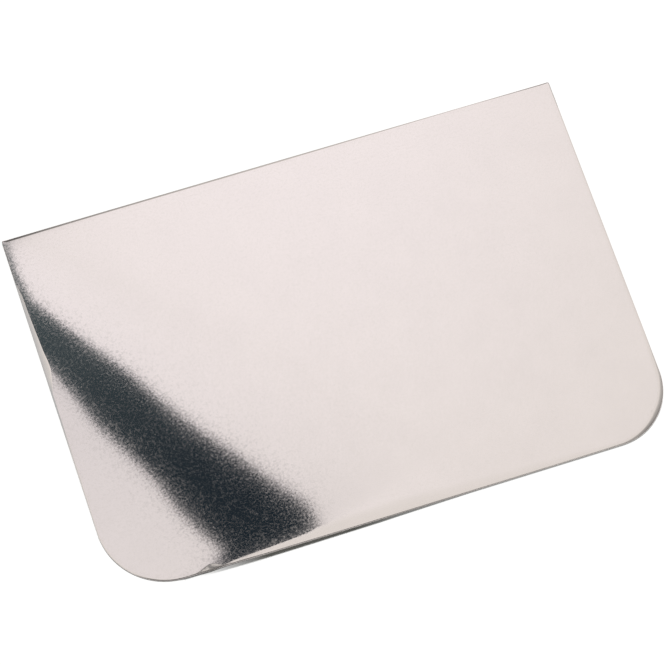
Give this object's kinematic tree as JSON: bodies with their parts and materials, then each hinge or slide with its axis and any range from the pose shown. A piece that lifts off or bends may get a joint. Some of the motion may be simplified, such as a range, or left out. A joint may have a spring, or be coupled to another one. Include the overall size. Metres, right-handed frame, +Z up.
{
  "type": "icing smoother",
  "caption": "Flat, springy metal sheet with a straight working edge and two rounded corners, held in the hand to smooth icing on a cake or to scrape dough.",
  "frame": {"origin": "middle of the sheet's outline, on the surface that the flat part of its underside lies on", "axes": "+X along the straight working edge, +Y from the rounded edge towards the working edge, +Z up through the sheet's thickness"},
  "size_m": [0.12, 0.08, 0.0029],
  "materials": {
    "polished_steel": "cold-rolled stainless steel sheet with a bright satin face"
  },
  "bodies": {
    "root": {"smoother_blade": "polished_steel"}
  },
  "joints": []
}
